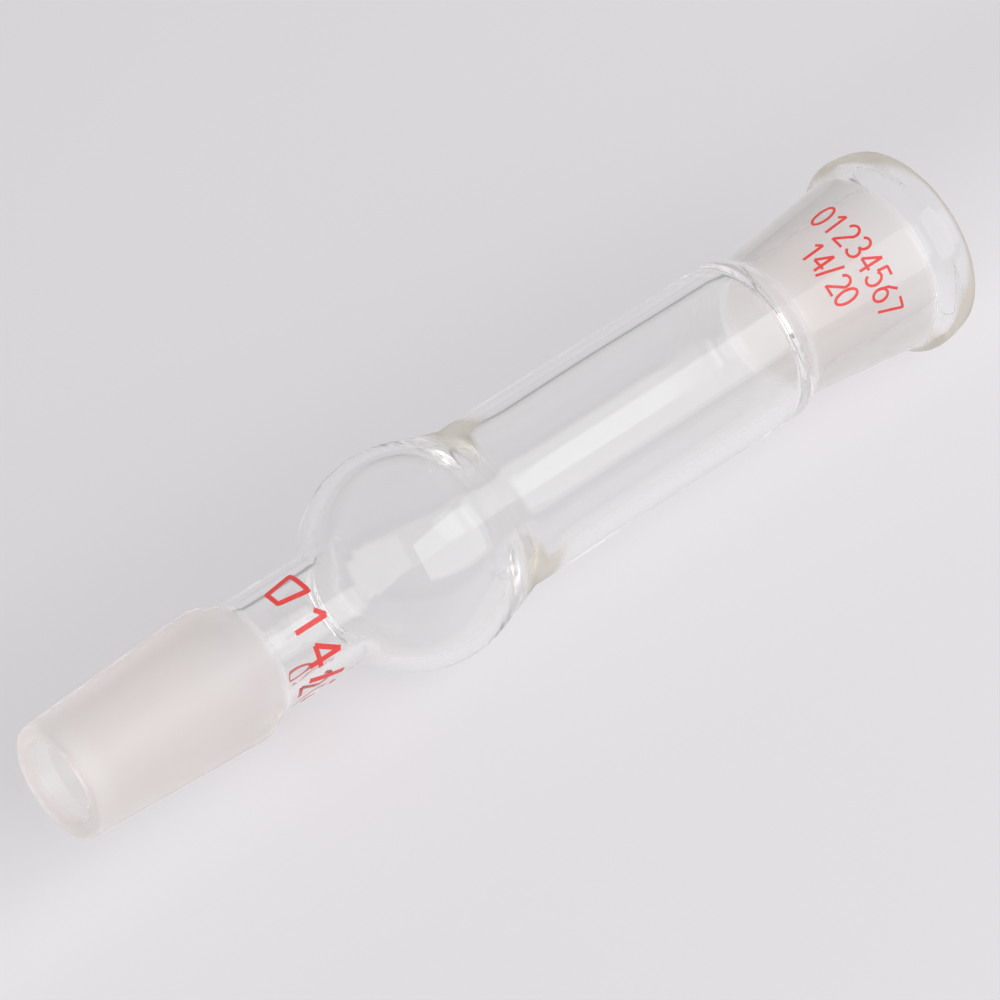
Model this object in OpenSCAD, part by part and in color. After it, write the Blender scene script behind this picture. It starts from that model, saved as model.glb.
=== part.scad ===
// Straight drying tube with one bulb and two standard-taper joints, blown as a single piece of glass.
// The tube lies on its bulb and on the lip of its socket, with the plug end towards -X.
// Outlines are lists of [place along the tube, radius], turned about the tube's own axis.

/* [Taper joints] */
// Diameter at the large end of both ground tapers
joint_d = 14.5; // [12.5:0.1:18]
// Ground length of the plug
plug_len = 20; // [14:0.5:26]
// Ground length of the socket
socket_ground_len = 17.6; // [12:0.1:24]
// Wall of the plug
plug_wall = 1.7; // [1.2:0.1:2.2]
// Rounding of the fire-polished edges at the plug's tip
tip_round = 0.5; // [0.2:0.05:0.6]
// Length by which the plug's cone runs on past its ground length
plug_edge = 1.3; // [0.5:0.1:2]
// Length of the shoulder from the ground length down to the neck
plug_shoulder = 4.4; // [3:0.1:8]

/* [Neck] */
// Outside diameter of the neck
neck_d = 12.05; // [10:0.05:13.4]
// Length of the straight neck
neck_len = 9.9; // [5:0.1:20]
// Wall of the neck
neck_wall = 1.7; // [1.2:0.1:2.2]
// Radius of the hollow curve where the neck opens into the bulb
neck_cove = 2.4; // [1:0.1:4]

/* [Bulb] */
// Outside diameter of the bulb
bulb_d = 22.8; // [19:0.1:32]
// Wall of the bulb
bulb_wall = 1.4; // [1:0.1:2]
// Length of the straight run-out from the bulb's round to the waist
runout_len = 6.5; // [5:0.1:9]
// Depth of the crease between bulb and barrel
crease = 0.15; // [0.1:0.05:0.6]
// Wall of the fused waist
waist_wall = 2.4; // [2:0.05:3.2]

/* [Barrel] */
// Outside diameter of the barrel
barrel_d = 18; // [15:0.1:21.6]
// Wall of the barrel
barrel_wall = 1.8; // [1.2:0.1:2.2]
// Length of the barrel from the waist to the throat of the socket
barrel_len = 38; // [20:0.1:80]
// Rounding of the barrel's first shoulder
barrel_round = 2; // [1:0.1:3]

/* [Socket] */
// Wall at the throat, where the socket joins the barrel
throat_wall = 1.65; // [1.3:0.05:2.2]
// Wall of the socket just before its lip
socket_wall = 2.4; // [1.8:0.1:3]
// Height of the rolled lip above the socket
lip_height = 1.3; // [0.8:0.1:1.8]
// Length of the rolled lip
lip_len = 6; // [5:0.1:8]
// Fall of the lip's long outer curve from its top to the rim
lip_fall = 0.48; // [0.2:0.02:0.8]
// Rounding of the rim's outer edge
rim_round = 1.1; // [0.8:0.1:1.3]
// Length of the clear flare that leads into the ground taper
flare_len = 3.2; // [2.4:0.1:4]
// Height by which the flare opens out
flare_rise = 1.25; // [0.8:0.05:1.4]

/* [Hidden] */

// Radii, from the joint's diameter outwards and from each outside inwards
taper = 1 / 20;
joint_r = joint_d / 2;
tip_r = joint_r - taper * plug_len;
plug_bore_r = tip_r - plug_wall;
neck_r = neck_d / 2;
neck_bore_r = neck_r - neck_wall;
bulb_r = bulb_d / 2;
hollow_r = bulb_r - bulb_wall;
barrel_r = barrel_d / 2;
barrel_bore_r = barrel_r - barrel_wall;
waist_r = barrel_r - crease;
waist_bore_r = waist_r - waist_wall;
ground_small_r = joint_r - taper * socket_ground_len;
throat_r = ground_small_r + throat_wall;
socket_r = joint_r + socket_wall;
lip_r = socket_r + lip_height;
mouth_r = joint_r + flare_rise;

// The cove ahead of the bulb is centred here, and meets the bulb at this angle
cove_r = neck_r + neck_cove;
cove_at = plug_len + plug_shoulder + neck_len;
bulb_at = cove_at + sqrt(pow(bulb_r + neck_cove, 2) - pow(cove_r, 2));
cove_meets = atan2(cove_r, cove_at - bulb_at);

// The run-out is tangent to the bulb, and leaves its round at this angle
waist_from_bulb = sqrt(pow(bulb_r, 2) + pow(runout_len, 2) - pow(waist_r, 2));
bulb_leaves = atan2(waist_r, waist_from_bulb) + atan2(runout_len, bulb_r);

// The barrel's first shoulder rises out of the waist at this angle
waist_at = bulb_at + waist_from_bulb;
shoulder_rise = asin((barrel_round - crease) / barrel_round);
shoulder_at = waist_at + barrel_round * cos(shoulder_rise);

// Places along the socket, counted from the tip of the plug
throat_at = waist_at + barrel_len;
ground_at = throat_at - 0.7;
ground_end = ground_at + socket_ground_len;
rim_at = ground_end + flare_len;
lip_at = rim_at - lip_len;
lip_top = lip_at + 2.2;

// The lip's long curve has this radius, and turns into the rim's rounding at this angle
rim_round_r = lip_r - rim_round - lip_fall;
lip_run = rim_at - rim_round - lip_top;
lip_curve = (pow(lip_run, 2) + pow(lip_fall, 2)) / (2 * lip_fall) + rim_round;
rim_turn = acos(lip_run / (lip_curve - rim_round));
mouth_round = min(0.5, rim_round_r - mouth_r - 0.1);

// The bulb's hollow runs straight to the waist, and leaves its round at this angle
hollow_end = waist_from_bulb - 0.5;
waist_opens = atan2(waist_bore_r, hollow_end) + acos(hollow_r / norm([hollow_end, waist_bore_r]));

// The curve from the hollow into the neck's bore touches both, with this radius and at this angle
into_neck = (pow(bulb_at - cove_at, 2) + pow(neck_bore_r, 2) - pow(hollow_r, 2)) / 2;
into_neck_r = max(0.5, into_neck / (hollow_r - neck_bore_r));
into_neck_height = neck_bore_r + into_neck_r;
neck_opens = atan2(into_neck_height, cove_at - bulb_at);

// The lip is not as wide as the bulb, so the axis leans by this angle when the tube lies down
lean = atan((bulb_r - lip_r) / (lip_top - bulb_at));

// Points of an arc about [at, height], from angle a to angle b
function arc(at, height, radius, a, b, steps = 12) =
    [for (i = [0:steps]) let (t = a + (b - a) * i / steps)
        [at + radius * cos(t), height + radius * sin(t)]];

// Points of a soft step from p to q, level at both ends
function soft_step(p, q, steps = 10) =
    [for (i = [0:steps]) let (t = i / steps)
        [p[0] + (q[0] - p[0]) * t, p[1] + (q[1] - p[1]) * (1 - cos(180 * t)) / 2]];

// Outside of the plug: ground taper and sloping shoulder
function plug_outside() = concat(
    arc(tip_round, tip_r - tip_round, tip_round, 180, 92, 8),
    [[plug_len + plug_edge, joint_r + taper * plug_edge]],
    [[plug_len + plug_shoulder, neck_r]]);

// Outside of the neck and the bulb: a cove, the round, and the run-out to the waist
function bulb_outside() = concat(
    arc(cove_at, cove_r, neck_cove, 270, 180 + cove_meets, 8),
    arc(bulb_at, 0, bulb_r, cove_meets - 3, bulb_leaves, 36));

// Outside of the barrel: a round shoulder at the waist and a soft one at the throat
function barrel_outside() = concat(
    arc(shoulder_at, barrel_r - barrel_round, barrel_round, 180 - shoulder_rise, 90, 8),
    soft_step([throat_at - 2.4, barrel_r], [throat_at, throat_r]));

// Outside of the socket: a widening cone and the rolled lip
function socket_outside() = concat(
    [[throat_at + 0.9, throat_r + 0.06]],
    soft_step([lip_at, socket_r], [lip_top, lip_r]),
    arc(lip_top, lip_r - lip_curve, lip_curve, 88, rim_turn + 2, 5),
    arc(rim_at - rim_round, rim_round_r, rim_round, rim_turn, 0, 8));

// Inside of the socket: rounded mouth, clear flare and ground taper
function socket_inside() = concat(
    arc(rim_at - mouth_round, mouth_r + mouth_round, mouth_round, 360, 280, 6),
    soft_step([rim_at - 1.4, mouth_r - 0.1], [ground_end, joint_r]),
    [[ground_at, ground_small_r]]);

// Inside of the barrel, from the throat back to the waist
function barrel_inside() = concat(
    soft_step([ground_at - 0.5, ground_small_r], [ground_at - 2.6, barrel_bore_r]),
    soft_step([waist_at + 2.6, barrel_bore_r], [waist_at - 0.3, waist_bore_r]));

// Inside of the bulb, the neck and the plug
function plug_inside() = concat(
    [[bulb_at + hollow_end, waist_bore_r]],
    arc(bulb_at, 0, hollow_r, waist_opens, neck_opens, 36),
    arc(cove_at, into_neck_height, into_neck_r, 180 + neck_opens, 270, 10),
    soft_step([plug_len + plug_shoulder, neck_bore_r], [plug_len - 1, plug_bore_r + 0.65]),
    arc(tip_round, plug_bore_r + tip_round, tip_round, 268, 180, 8));

// The whole wall, cut along the axis
module wall_section() {
    outside = concat(plug_outside(), bulb_outside(), barrel_outside(), socket_outside());
    inside = concat(socket_inside(), barrel_inside(), plug_inside());
    polygon([for (p = concat(outside, inside)) [p[1], p[0]]]);
}

// The glass: the wall turned about its axis, then laid down on bulb and lip
module drying_tube() {
    color("lightcyan", 0.45)
        translate([bulb_at - rim_at / 2, 0, bulb_r])
            rotate([0, 90 + lean, 0])
                translate([0, 0, -bulb_at])
                    rotate_extrude($fn = 96)
                        wall_section();
}

drying_tube();
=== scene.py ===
from math import acos, asin, atan, atan2, cos, degrees, hypot, pi, radians, sin, sqrt

import bmesh
import bpy
from mathutils import Matrix, Vector, noise


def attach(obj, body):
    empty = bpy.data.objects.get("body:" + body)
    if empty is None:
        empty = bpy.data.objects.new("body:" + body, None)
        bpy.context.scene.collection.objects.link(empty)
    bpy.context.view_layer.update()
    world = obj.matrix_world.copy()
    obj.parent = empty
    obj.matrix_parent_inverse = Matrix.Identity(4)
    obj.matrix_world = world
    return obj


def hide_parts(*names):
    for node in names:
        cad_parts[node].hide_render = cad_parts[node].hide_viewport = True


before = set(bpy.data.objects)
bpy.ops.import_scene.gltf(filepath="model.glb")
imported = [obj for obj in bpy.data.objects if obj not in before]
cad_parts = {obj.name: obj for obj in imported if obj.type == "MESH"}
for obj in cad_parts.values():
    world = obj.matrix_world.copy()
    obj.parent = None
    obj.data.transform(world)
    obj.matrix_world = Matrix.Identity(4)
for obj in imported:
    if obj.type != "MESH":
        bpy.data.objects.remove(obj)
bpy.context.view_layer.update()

# Plug: the ground cone that seats in another vessel's socket. Borosilicate tube, worked to a
# 1 in 10 taper and ground matt outside, from its tip to the foot of its sloping shoulder.
# Outlines here and below are points of (millimetres from the plug's tip, radius in millimetres).
taper = 1 / 20
joint_r = 7.25
plug_len = 20
plug_edge = 1.3
plug_shoulder = 4.4
plug_wall = 1.7
tip_r = joint_r - taper * plug_len
tip_round = 0.5
plug_bore_r = tip_r - plug_wall
bore_step_at = plug_len - 1
bore_step_r = plug_bore_r + 0.65
neck_r = 6.025
neck_wall = 1.7
neck_bore_r = neck_r - neck_wall
# An arc stops this many degrees short of what it runs on into, so that no two points meet.
short_by = 2


def arc(at, height, radius, a, b, steps):
    """Points of an arc about (at, height), from angle a to angle b in degrees."""
    turns = [radians(a + (b - a) * i / steps) for i in range(steps + 1)]
    return [(at + radius * cos(t), height + radius * sin(t)) for t in turns]


def soft_step(p, q, steps):
    """Points of a soft step from p to q, level at both ends."""
    parts = [i / steps for i in range(steps + 1)]
    return [(p[0] + (q[0] - p[0]) * t, p[1] + (q[1] - p[1]) * (1 - cos(pi * t)) / 2) for t in parts]


plug_outside = (
    arc(tip_round, tip_r - tip_round, tip_round, 180, 90 + short_by, 8)
    + [(plug_len + plug_edge, joint_r + taper * plug_edge), (plug_len + plug_shoulder, neck_r)]
)
plug_inside = (
    soft_step((plug_len + plug_shoulder, neck_bore_r), (bore_step_at, bore_step_r), 14)
    + arc(tip_round, plug_bore_r + tip_round, tip_round, 270 - short_by, 180, 8)
)

# Neck and bulb: the plug's tube runs on as a narrow neck and is blown out into a round bulb. The
# bulb runs out in a straight line to the fused waist, where the glass is thickest.
neck_len = 9.9
neck_cove = 2.4
bulb_r = 11.4
bulb_wall = 1.4
hollow_r = bulb_r - bulb_wall
runout_len = 6.5
barrel_r = 9
crease = 0.15
waist_r = barrel_r - crease
waist_wall = 2.4
waist_bore_r = waist_r - waist_wall
waist_bore_starts = 0.5

cove_r = neck_r + neck_cove
cove_at = plug_len + plug_shoulder + neck_len
bulb_at = cove_at + sqrt((bulb_r + neck_cove) ** 2 - cove_r**2)
cove_meets = degrees(atan2(cove_r, cove_at - bulb_at))
waist_at = bulb_at + sqrt(bulb_r**2 + runout_len**2 - waist_r**2)
bulb_leaves = degrees(atan2(waist_r, waist_at - bulb_at) + atan2(runout_len, bulb_r))
bulb_outside = (
    arc(cove_at, cove_r, neck_cove, 270, 180 + cove_meets, 10)
    + arc(bulb_at, 0, bulb_r, cove_meets - short_by, bulb_leaves, 44)
)
hollow_end = waist_at - bulb_at - waist_bore_starts
waist_opens = degrees(atan2(waist_bore_r, hollow_end) + acos(hollow_r / hypot(hollow_end, waist_bore_r)))
into_neck_r = ((bulb_at - cove_at) ** 2 + neck_bore_r**2 - hollow_r**2) / (2 * (hollow_r - neck_bore_r))
into_neck_height = neck_bore_r + into_neck_r
neck_opens = degrees(atan2(into_neck_height, cove_at - bulb_at))
bulb_inside = (
    [(bulb_at + hollow_end, waist_bore_r)]
    + arc(bulb_at, 0, hollow_r, waist_opens, neck_opens, 48)
    + arc(cove_at, into_neck_height, into_neck_r, 180 + neck_opens, 270, 12)
)

# Barrel: a straight length of wider tube, which holds the drying granules. It is fused to the bulb
# at the waist with a round shoulder, and drawn in at the throat.
barrel_wall = 1.8
barrel_bore_r = barrel_r - barrel_wall
barrel_len = 38
barrel_round = 2
throat_at = waist_at + barrel_len
throat_wall = 1.65
throat_step = 2.4
ground_at = throat_at - 0.7
socket_ground_len = 17.6
ground_small_r = joint_r - taper * socket_ground_len
throat_r = ground_small_r + throat_wall
throat_bore_starts = ground_at - 0.5
throat_bore_opens = ground_at - 2.6
waist_bore_opens = waist_at + 2.6
waist_bore_ends = waist_at - 0.3
shoulder_rise = asin((barrel_round - crease) / barrel_round)
shoulder_at = waist_at + barrel_round * cos(shoulder_rise)
barrel_outside = (
    arc(shoulder_at, barrel_r - barrel_round, barrel_round, 180 - degrees(shoulder_rise), 90, 8)
    + soft_step((throat_at - throat_step, barrel_r), (throat_at, throat_r), 12)
)
barrel_inside = (
    soft_step((throat_bore_starts, ground_small_r), (throat_bore_opens, barrel_bore_r), 12)
    + soft_step((waist_bore_opens, barrel_bore_r), (waist_bore_ends, waist_bore_r), 14)
)

# Socket: widens to a rolled lip. It is ground matt inside, over the taper that takes a plug, and
# the glass between that and the rim is a clear flare.
flare_len = 3.2
flare_rise = 1.25
socket_wall = 2.4
socket_foot_len = 0.9
socket_foot_rise = 0.06
ground_end = ground_at + socket_ground_len
rim_at = ground_end + flare_len
lip_len = 6
lip_height = 1.3
lip_at = rim_at - lip_len
lip_top = lip_at + 2.2
lip_r = joint_r + socket_wall + lip_height
lip_fall = 0.48
rim_round = 1.1
mouth_r = joint_r + flare_rise
mouth_round = 0.5
mouth_round_ends = 280
flare_starts = rim_at - 1.4
flare_starts_r = mouth_r - 0.1
lip_run = rim_at - rim_round - lip_top
lip_curve = (lip_run**2 + lip_fall**2) / (2 * lip_fall) + rim_round
rim_turn = degrees(acos(lip_run / (lip_curve - rim_round)))
socket_outside = (
    [(throat_at + socket_foot_len, throat_r + socket_foot_rise)]
    + soft_step((lip_at, joint_r + socket_wall), (lip_top, lip_r), 14)
    + arc(lip_top, lip_r - lip_curve, lip_curve, 90 - short_by, rim_turn + short_by, 8)
    + arc(rim_at - rim_round, lip_r - rim_round - lip_fall, rim_round, rim_turn, 0, 10)
)
socket_inside = (
    arc(rim_at - mouth_round, mouth_r + mouth_round, mouth_round, 360, mouth_round_ends, 6)
    + soft_step((flare_starts, flare_starts_r), (ground_end, joint_r), 12)
    + [(ground_at, ground_small_r)]
)

# The whole wall: one continuous skin of glass, outside and inside, turned about the tube's axis.
# Every part of it was worked over a flame by hand, so its corners are melted round and both skins
# wander by a few hundredths of a millimetre.
MM = 0.001
even_step = 0.12
melting = 10
waist_bore_melting = 90
waist_bore_reach = 4
crease_melting = 40
crease_reach = 3
inside_r = barrel_bore_r + 0.6
sharpest_turn = radians(4.2)
longest_strip = 1.3
turns_round = 208
wander = 0.03
wander_length = 18
wander_round = 1.1
wander_between_skins = 7.3


def evenly(outline, step):
    """The closed outline again, with a point every step along it."""
    found = []
    for p, q in zip(outline, outline[1:] + outline[:1]):
        cuts = max(1, round(hypot(q[0] - p[0], q[1] - p[1]) / step))
        found += [(p[0] + (q[0] - p[0]) * i / cuts, p[1] + (q[1] - p[1]) * i / cuts) for i in range(cuts)]
    return found


def melted(outline, passes, holds):
    """The closed outline with each point drawn towards its neighbours, unless it holds."""
    for _ in range(passes):
        sides = zip(outline[-1:] + outline[:-1], outline, outline[1:] + outline[:1])
        outline = [
            b if holds(b) else ((a[0] + 2 * b[0] + c[0]) / 4, (a[1] + 2 * b[1] + c[1]) / 4)
            for a, b, c in sides
        ]
    return outline


def thinned(outline):
    """The outline with no more points than its bends and its longest strips need."""
    kept, turned = [0], 0.0
    for i in range(1, len(outline) - 1):
        a, b, c = outline[i - 1], outline[i], outline[i + 1]
        way = atan2(c[1] - b[1], c[0] - b[0]) - atan2(b[1] - a[1], b[0] - a[0])
        turned += abs((way + pi) % (2 * pi) - pi)
        since = hypot(b[0] - outline[kept[-1]][0], b[1] - outline[kept[-1]][1])
        if turned > sharpest_turn or since > longest_strip:
            kept.append(i)
            turned = 0.0
    return [outline[i] for i in kept]


wall = evenly(
    plug_outside + bulb_outside + barrel_outside + socket_outside
    + socket_inside + barrel_inside + bulb_inside + plug_inside,
    even_step,
)
wall = melted(wall, melting, lambda p: False)
wall = melted(wall, waist_bore_melting, lambda p: abs(p[0] - waist_at) > waist_bore_reach or p[1] > inside_r)
wall = melted(wall, crease_melting, lambda p: abs(p[0] - waist_at) > crease_reach or p[1] < inside_r)
wall = thinned(wall)

lean = atan((bulb_r - lip_r) / (lip_top - bulb_at))
lying = (
    Matrix.Translation(Vector((bulb_at - rim_at / 2, 0, bulb_r)) * MM)
    @ Matrix.Rotation(lean, 4, "Y")
    @ Matrix.Translation(Vector((-bulb_at, 0, 0)) * MM)
)


def on_tube(along, radius, angle):
    """A place on the tube in the row frame: along it from the plug's tip, out from its axis, and
    round it from its top towards -Y."""
    across = Vector((along, -radius * sin(angle), radius * cos(angle)))
    return lying @ (across * MM)


def uneven(along, radius, angle, is_outside):
    """The radius with the small wander of hand-worked glass, which is another one inside."""
    across, up = cos(angle) * wander_round, sin(angle) * wander_round
    place = Vector((along / wander_length, across, up + (0 if is_outside else wander_between_skins)))
    return radius + wander * noise.noise(place)


def between(value, low, high):
    """0 up to low, 1 from high, and a soft rise between them."""
    share = min(1, max(0, (value - low) / (high - low)))
    return share * share * (3 - 2 * share)


plug_matt_end = plug_len + plug_shoulder - 0.4
plug_matt_fade = 0.7
tip_matt_end = 1.6
tip_matt_fade = 1.2
socket_matt_rise = 2
socket_matt_fade = 0.6
thick_at = waist_at - 0.6
thick_reach = 4.2
thick_fade = 2.6
lip_thick_starts = lip_at - 0.8
lip_thick_full = lip_at + 1.6


def how_ground(along, is_outside):
    """1 where the glass is ground matt, 0 where it is clear, with a soft edge between."""
    if is_outside:
        return between(plug_matt_end - along, 0, plug_matt_fade)
    tip = between(tip_matt_end - along, 0, tip_matt_fade)
    socket_end = between(ground_end - along, 0, socket_matt_fade)
    return max(tip, between(along - ground_at, 0, socket_matt_rise) * socket_end)


def how_thick(along):
    """1 on the thick fused glass of the waist and the lip, 0 on the thin walls."""
    waist = between(thick_reach - abs(along - thick_at), 0, thick_fade)
    return max(waist, between(along, lip_thick_starts, lip_thick_full))


mesh = bpy.data.meshes.new("drying_tube_glass")
work = bmesh.new()
ground_mask = work.verts.layers.float.new("ground")
thick_mask = work.verts.layers.float.new("thick")
rim_index = max(range(len(wall)), key=lambda i: wall[i][0])
rings, ring_ground = [], []
for index, (along, radius) in enumerate(wall):
    is_outside = index < rim_index
    ground = how_ground(along, is_outside)
    thick = how_thick(along) if is_outside else 0.0
    ring = []
    for turn in range(turns_round):
        angle = 2 * pi * turn / turns_round
        corner = work.verts.new(on_tube(along, uneven(along, radius, angle, is_outside), angle))
        corner[ground_mask] = ground
        corner[thick_mask] = thick
        ring.append(corner)
    rings.append(ring)
    ring_ground.append(ground)
for index, ring in enumerate(rings):
    following = (index + 1) % len(rings)
    is_ground = max(ring_ground[index], ring_ground[following]) > 0
    for turn in range(turns_round):
        beside = (turn + 1) % turns_round
        face = work.faces.new((ring[turn], ring[beside], rings[following][beside], rings[following][turn]))
        face.smooth = True
        face.material_index = int(is_ground)
bmesh.ops.recalc_face_normals(work, faces=work.faces)
work.to_mesh(mesh)
work.free()
glass = bpy.data.objects.new("drying_tube_glass", mesh)
bpy.context.scene.collection.objects.link(glass)
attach(glass, "root")
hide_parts("drying_tube")


def mask(tree, name):
    """The socket of a mask that the mesh holds."""
    made = tree.nodes.new("ShaderNodeAttribute")
    made.attribute_name = name
    return made.outputs["Fac"]


def blend(tree, share, low, high):
    """The socket of a colour between low and high, as share says."""
    made = tree.nodes.new("ShaderNodeMix")
    made.data_type = "RGBA"
    tree.links.new(share, made.inputs["Factor"])
    made.inputs["A"].default_value = low
    made.inputs["B"].default_value = high
    return made.outputs["Result"]


def ranged(tree, value, low, high):
    """The socket of a number from low to high, as value goes from 0 to 1."""
    made = tree.nodes.new("ShaderNodeMapRange")
    tree.links.new(value, made.inputs["Value"])
    made.inputs["To Min"].default_value = low
    made.inputs["To Max"].default_value = high
    return made.outputs["Result"]


glass_ior = 1.474
edge_power = 4.0


def glass_surface(name, clearness, passes, edge_loss):
    """A glass material, with its shader. Its shadow is the faint one of a clear wall: passes is the
    share of a lamp's light that each face lets through head on, and edge_loss how much less it lets
    through at a slant."""
    made = bpy.data.materials.new(name)
    made.use_nodes = True
    tree = made.node_tree
    shader = tree.nodes["Principled BSDF"]
    shader.inputs["IOR"].default_value = glass_ior
    shader.inputs["Transmission Weight"].default_value = clearness
    slant = tree.nodes.new("ShaderNodeLayerWeight")
    steep = tree.nodes.new("ShaderNodeMath")
    steep.operation = "POWER"
    steep.inputs[1].default_value = edge_power
    tree.links.new(slant.outputs["Facing"], steep.inputs[0])
    lets_through = tree.nodes.new("ShaderNodeBsdfTransparent")
    tree.links.new(ranged(tree, steep.outputs[0], passes, passes - edge_loss), lets_through.inputs["Color"])
    path = tree.nodes.new("ShaderNodeLightPath")
    lamp_or_eye = tree.nodes.new("ShaderNodeMixShader")
    tree.links.new(path.outputs["Is Shadow Ray"], lamp_or_eye.inputs[0])
    tree.links.new(shader.outputs[0], lamp_or_eye.inputs[1])
    tree.links.new(lets_through.outputs[0], lamp_or_eye.inputs[2])
    tree.links.new(lamp_or_eye.outputs[0], tree.nodes["Material Output"].inputs["Surface"])
    return made, shader


# The thick glass of the waist and the lip looks straw-coloured and soft where it is seen at a
# slant, because light goes a long way through it there. The thin walls are water clear.
clear_glass, shader = glass_surface("clear borosilicate", clearness=1.0, passes=0.93, edge_loss=0.5)
tree = clear_glass.node_tree
water_clear = (0.992, 0.995, 0.990, 1)
straw = (0.72, 0.665, 0.51, 1)
straw_starts = 0.38
straw_full = 0.56
straw_roughness = 0.38
slant = tree.nodes.new("ShaderNodeLayerWeight")
aslant = tree.nodes.new("ShaderNodeMapRange")
aslant.interpolation_type = "SMOOTHSTEP"
aslant.inputs["From Min"].default_value = straw_starts
aslant.inputs["From Max"].default_value = straw_full
tree.links.new(slant.outputs["Facing"], aslant.inputs["Value"])
long_path = tree.nodes.new("ShaderNodeMath")
long_path.operation = "MULTIPLY"
tree.links.new(mask(tree, "thick"), long_path.inputs[0])
tree.links.new(aslant.outputs[0], long_path.inputs[1])
tree.links.new(blend(tree, long_path.outputs[0], water_clear, straw), shader.inputs["Base Color"])
tree.links.new(ranged(tree, long_path.outputs[0], 0.0, straw_roughness), shader.inputs["Roughness"])
mesh.materials.append(clear_glass)

# Ground faces scatter light, so they look milky and a little warm.
ground_glass, shader = glass_surface("ground face", clearness=0.8, passes=0.9, edge_loss=0.5)
tree = ground_glass.node_tree
milky = (0.935, 0.888, 0.862, 1)
unground_roughness = 0.02
ground_roughness = 0.6
tree.links.new(blend(tree, mask(tree, "ground"), water_clear, milky), shader.inputs["Base Color"])
matt = ranged(tree, mask(tree, "ground"), unground_roughness, ground_roughness)
tree.links.new(matt, shader.inputs["Roughness"])
mesh.materials.append(ground_glass)
glass.visible_diffuse = False

# Neck print: red enamel fired onto the neck, which says the plug's taper size in plain numbers. The
# numbers stand with their heads to the socket and run on round the neck.
print_out, print_up = 0.518, 0.716
print_side = atan2(print_out, print_up)
enamel_lift = 0.02
enamel_thick = 0.03
longest_ribbon = 0.22
same_place = 1e-6


def curve(cx, cy, rx, ry, a, b, steps):
    """Points of an arc of an oval in a figure's box, from angle a to angle b in degrees."""
    turns = [radians(a + (b - a) * i / steps) for i in range(steps + 1)]
    return [(cx + rx * cos(t), cy + ry * sin(t)) for t in turns]


# Each figure is drawn by strokes in a box 1 high, about 0.6 wide, with its foot at 0.
figures = {
    "0": [curve(0.3, 0.5, 0.28, 0.5, 90, 450, 28)],
    "1": [[(0.34, 0.0), (0.34, 1.0)], [(0.34, 1.0), (0.08, 0.78)]],
    "2": [curve(0.3, 0.72, 0.27, 0.28, 165, -25, 14) + [(0.03, 0.0)], [(0.0, 0.0), (0.6, 0.0)]],
    "3": [curve(0.28, 0.75, 0.25, 0.25, 150, -90, 12), curve(0.28, 0.25, 0.28, 0.25, 90, -150, 12)],
    "4": [[(0.44, 0.0), (0.44, 1.0)], [(0.44, 1.0), (0.0, 0.32)], [(0.0, 0.32), (0.62, 0.32)]],
    "5": [[(0.52, 1.0), (0.1, 1.0), (0.06, 0.58)], curve(0.28, 0.32, 0.28, 0.32, 130, -150, 16)],
    "6": [curve(0.3, 0.3, 0.27, 0.3, 180, 540, 20), [(0.03, 0.3), (0.14, 0.7), (0.42, 1.0)]],
    "7": [[(0.02, 1.0), (0.56, 1.0), (0.2, 0.0)]],
    "/": [[(0.0, -0.08), (0.42, 1.08)]],
    "taper": [[(0.06, 0.0), (0.54, 0.0), (0.7, 1.0), (-0.1, 1.0), (0.06, 0.0)]],
}


def outer_radius(along):
    """The tube's outside radius at this place along it."""
    outside = wall[:rim_index]
    for p, q in zip(outside, outside[1:]):
        if p[0] <= along <= q[0] and q[0] > p[0]:
            return p[1] + (q[1] - p[1]) * (along - p[0]) / (q[0] - p[0])
    return neck_r


def enamel_stroke(work, stroke, thickness, at, height, angle, narrow):
    """One stroke of a figure as a thin ribbon of enamel on the outside of the tube. The figure's
    foot is at this place along the tube, and its left edge at this angle round it."""
    points = []
    for p, q in zip(stroke, stroke[1:]):
        cuts = max(1, round(hypot(q[0] - p[0], q[1] - p[1]) * height / longest_ribbon))
        points += [(p[0] + (q[0] - p[0]) * i / cuts, p[1] + (q[1] - p[1]) * i / cuts) for i in range(cuts)]
    points.append(stroke[-1])
    closed = hypot(points[0][0] - points[-1][0], points[0][1] - points[-1][1]) < same_place
    sections = []
    for i, (x, y) in enumerate(points):
        before = points[i - 1] if i else (points[-2] if closed else points[0])
        after = points[i + 1] if i + 1 < len(points) else (points[1] if closed else points[-1])
        way = atan2(after[1] - before[1], after[0] - before[0])
        section = []
        for side, lift in ((-1, 0), (1, 0), (1, 1), (-1, 1)):
            across = x * height * narrow - side * thickness / 2 * sin(way)
            up = y * height + side * thickness / 2 * cos(way)
            radius = outer_radius(at + up) + enamel_lift + lift * enamel_thick
            turn = angle + across / outer_radius(at + height / 2)
            section.append(work.verts.new(on_tube(at + up, radius, turn)))
        sections.append(section)
    if closed:
        for corner in sections.pop():
            work.verts.remove(corner)
    pairs = zip(sections, sections[1:] + sections[:1]) if closed else zip(sections, sections[1:])
    for section, following in pairs:
        for i in range(4):
            work.faces.new((section[i], section[(i + 1) % 4], following[(i + 1) % 4], following[i]))
    if not closed:
        work.faces.new(sections[0])
        work.faces.new(sections[-1][::-1])


def enamel_print(name, marks, thickness, narrow, material):
    """A piece of enamel print. marks are figures, each with its foot, height and angle in degrees."""
    print_mesh = bpy.data.meshes.new(name)
    work = bmesh.new()
    for figure, at, height, angle in marks:
        for stroke in figures[figure]:
            enamel_stroke(work, stroke, thickness, at, height, print_side + radians(angle), narrow)
    bmesh.ops.recalc_face_normals(work, faces=work.faces)
    work.to_mesh(print_mesh)
    work.free()
    made = bpy.data.objects.new(name, print_mesh)
    bpy.context.scene.collection.objects.link(made)
    print_mesh.materials.append(material)
    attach(made, "root")


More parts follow.
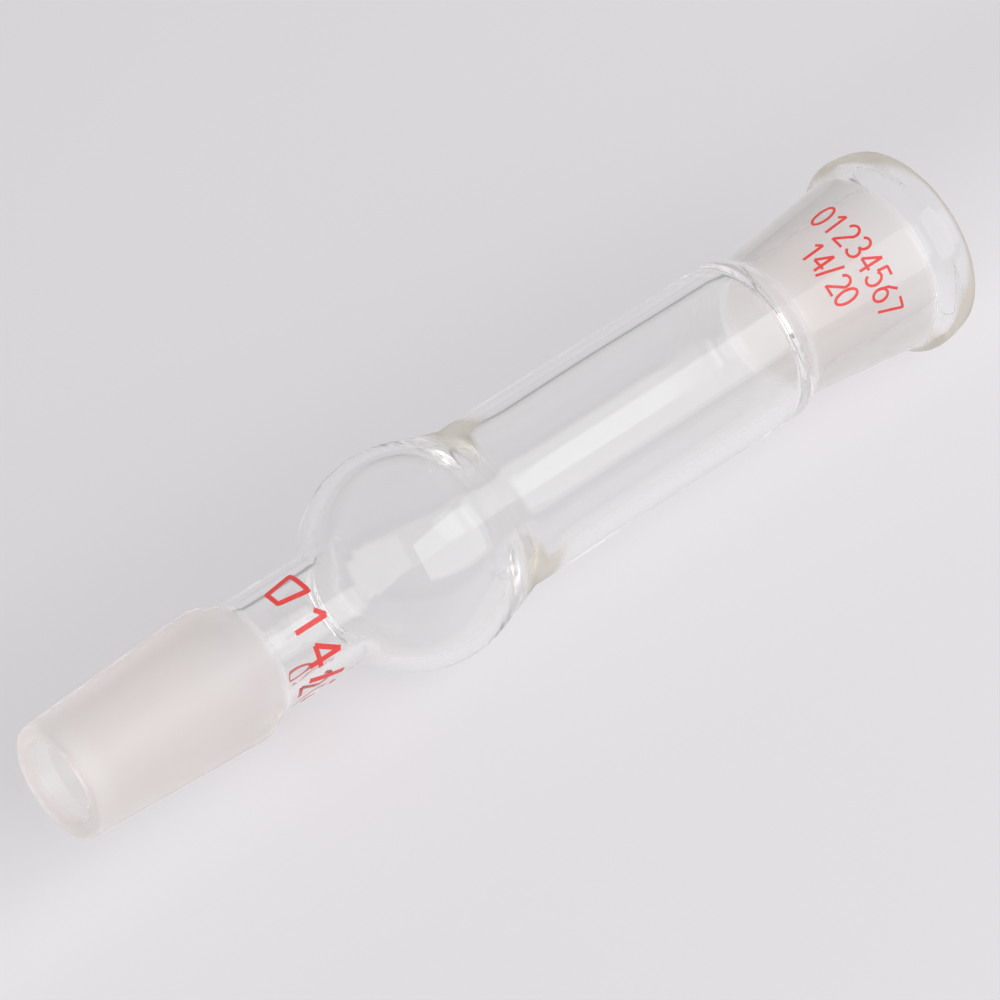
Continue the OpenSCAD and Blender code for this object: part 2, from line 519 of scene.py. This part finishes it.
red_enamel = bpy.data.materials.new("fired red enamel")
red_enamel.use_nodes = True
tree = red_enamel.node_tree
shader = tree.nodes["Principled BSDF"]
enamel_roughness = 0.35
mottle_scale = 2500
shader.inputs["Roughness"].default_value = enamel_roughness
mottle = tree.nodes.new("ShaderNodeTexNoise")
mottle.inputs["Scale"].default_value = mottle_scale
place = tree.nodes.new("ShaderNodeTexCoord")
tree.links.new(place.outputs["Object"], mottle.inputs["Vector"])
full_red = (0.76, 0.025, 0.022, 1)
thin_red = (0.82, 0.09, 0.08, 1)
tree.links.new(blend(tree, mottle.outputs["Fac"], full_red, thin_red), shader.inputs["Base Color"])

neck_foot = 27.0
neck_height = 3.85
neck_pitch = 31.5
neck_from = -10
outline_foot = neck_foot + 0.5
outline_height = 3.4
outline_from = -48
neck_stroke = 0.55
full_width = 1.0
neck_marks = [("taper", outline_foot, outline_height, outline_from)]
neck_marks += [(f, neck_foot, neck_height, neck_from + neck_pitch * i) for i, f in enumerate("14/20")]
enamel_print("neck_print", neck_marks, neck_stroke, full_width, red_enamel)

# Socket print: the socket's size in the same enamel, fired on like the neck's but drawn finer and
# narrower, with a plain row of numbers over it.
socket_foot = 96.6
socket_height = 2.7
socket_pitch = 9.6
socket_from = -32
row_foot = 100.6
row_height = 2.9
row_pitch = 11.2
row_from = -50
socket_stroke = 0.3
narrowed = 0.78
socket_marks = [
    (f, socket_foot, socket_height, socket_from + socket_pitch * i) for i, f in enumerate("14/20")
]
socket_marks += [(f, row_foot, row_height, row_from + row_pitch * i) for i, f in enumerate("01234567")]
enamel_print("socket_print", socket_marks, socket_stroke, narrowed, red_enamel)

# Bench: a pale sheet, large enough to run out of view. Its colour is painted lighter in front of the tube
# and darker
# behind it: a painted pool of the light that the tube gathers, and a painted shadow of the tube.
bench_side = 3.0
bench_colour = (0.80, 0.784, 0.802)
bench_roughness = 0.7
bench_shine = 0.2
# Painted light and shade: places across the bench, and how much lighter or darker its colour is painted
# there.
painted_shadow_and_light = (
    (-0.06, 0.99), (-0.03, 1.01), (-0.012, 1.065), (-0.006, 1.12), (0.0, 1.05),
    (0.012, 0.965), (0.022, 0.92), (0.034, 0.975), (0.06, 0.99),
)
tone_reach = 0.08
bench_mesh = bpy.data.meshes.new("bench")
half = bench_side / 2
bench_corners = [(-half, -half, 0), (half, -half, 0), (half, half, 0), (-half, half, 0)]
bench_mesh.from_pydata(bench_corners, [], [(0, 1, 2, 3)])
bench = bpy.data.objects.new("bench", bench_mesh)
bpy.context.scene.collection.objects.link(bench)
paper = bpy.data.materials.new("pale bench")
paper.use_nodes = True
tree = paper.node_tree
shader = tree.nodes["Principled BSDF"]
place = tree.nodes.new("ShaderNodeTexCoord")
place_xyz = tree.nodes.new("ShaderNodeSeparateXYZ")
tree.links.new(place.outputs["Object"], place_xyz.inputs[0])
beside = tree.nodes.new("ShaderNodeMapRange")
beside.inputs["From Min"].default_value = -tone_reach
beside.inputs["From Max"].default_value = tone_reach
tree.links.new(place_xyz.outputs["Y"], beside.inputs["Value"])
# The bench colour, painted darker behind the tube as its shadow and lighter in front as the light it
# gathers.
painted_shade_ramp = tree.nodes.new("ShaderNodeValToRGB")
painted_shade_ramp.color_ramp.interpolation = "B_SPLINE"
ramp = painted_shade_ramp.color_ramp.elements
ramp[0].position, ramp[1].position = 0.0, 1.0
for place_y, tone in painted_shadow_and_light:
    stop = ramp.new((place_y + tone_reach) / (2 * tone_reach))
    stop.color = [c * tone for c in bench_colour] + [1]
ramp[0].color = [c * painted_shadow_and_light[0][1] for c in bench_colour] + [1]
ramp[-1].color = [c * painted_shadow_and_light[-1][1] for c in bench_colour] + [1]
tree.links.new(beside.outputs[0], painted_shade_ramp.inputs["Fac"])
tree.links.new(painted_shade_ramp.outputs["Color"], shader.inputs["Base Color"])
shader.inputs["Roughness"].default_value = bench_roughness
shader.inputs["Specular IOR Level"].default_value = bench_shine
bench_mesh.materials.append(paper)

# Light: a pale tent overhead that is darker low down, where its wall ends above the bench, and one
# long soft box in front of the tube, with its long side beside the tube.
room = bpy.data.worlds.new("tent")
room.use_nodes = True
tree = room.node_tree
way = tree.nodes.new("ShaderNodeTexCoord")
height = tree.nodes.new("ShaderNodeSeparateXYZ")
tree.links.new(way.outputs["Generated"], height.inputs[0])
tent_wall_foot = radians(3)
tent_wall_top = radians(24)
tent_wall = tree.nodes.new("ShaderNodeMapRange")
tent_wall.interpolation_type = "SMOOTHSTEP"
tent_wall.inputs["From Min"].default_value = sin(tent_wall_foot)
tent_wall.inputs["From Max"].default_value = sin(tent_wall_top)
tree.links.new(height.outputs["Z"], tent_wall.inputs["Value"])
low_glow = (0.366, 0.364, 0.367, 1)
high_glow = (0.66, 0.652, 0.66, 1)
tree.links.new(
    blend(tree, tent_wall.outputs["Result"], low_glow, high_glow), tree.nodes["Background"].inputs["Color"]
)
bpy.context.scene.world = room

soft_box_way = Vector((0.285, -0.709, 0.645)).normalized()
soft_box_distance = 0.6
soft_box_sides = (0.97, 0.55)
soft_box_watts = 2.35
light = bpy.data.lights.new("soft box", "AREA")
light.shape = "RECTANGLE"
light.size, light.size_y = soft_box_sides
light.energy = soft_box_watts
soft_box = bpy.data.objects.new("soft box", light)
soft_box.location = soft_box_way * soft_box_distance
along_tube = (Vector((1, 0, 0)) - soft_box_way * soft_box_way.x).normalized()
soft_box_turn = Matrix((along_tube, soft_box_way.cross(along_tube), soft_box_way)).transposed()
soft_box.rotation_euler = soft_box_turn.to_euler()
bpy.context.scene.collection.objects.link(soft_box)

# Camera: looks down along the tube from the plug's side, at a place on the tube's axis near the
# middle of its length.
view_azimuth = radians(-42.1)
view_elevation = radians(45.7)
view_distance = 0.7269
view_along = 56.83
view_at = on_tube(view_along, 0, 0)
camera_data = bpy.data.cameras.new("camera")
camera_data.lens = 265.4
camera_data.sensor_width = 36
camera_data.clip_end = 20
back = Vector((
    sin(view_azimuth) * cos(view_elevation),
    -cos(view_azimuth) * cos(view_elevation),
    sin(view_elevation),
))
camera = bpy.data.objects.new("camera", camera_data)
camera.location = view_at + back * view_distance
camera.rotation_euler = back.to_track_quat("Z", "Y").to_euler()
bpy.context.scene.collection.objects.link(camera)
bpy.context.scene.camera = camera
bpy.context.scene.view_settings.view_transform = "Standard"

# Light trapped in a thick rim takes many turns before it leaves the glass.
light_turns = 48
cycles = bpy.context.scene.cycles
cycles.max_bounces = light_turns
cycles.transmission_bounces = light_turns
cycles.glossy_bounces = light_turns
cycles.transparent_max_bounces = light_turns
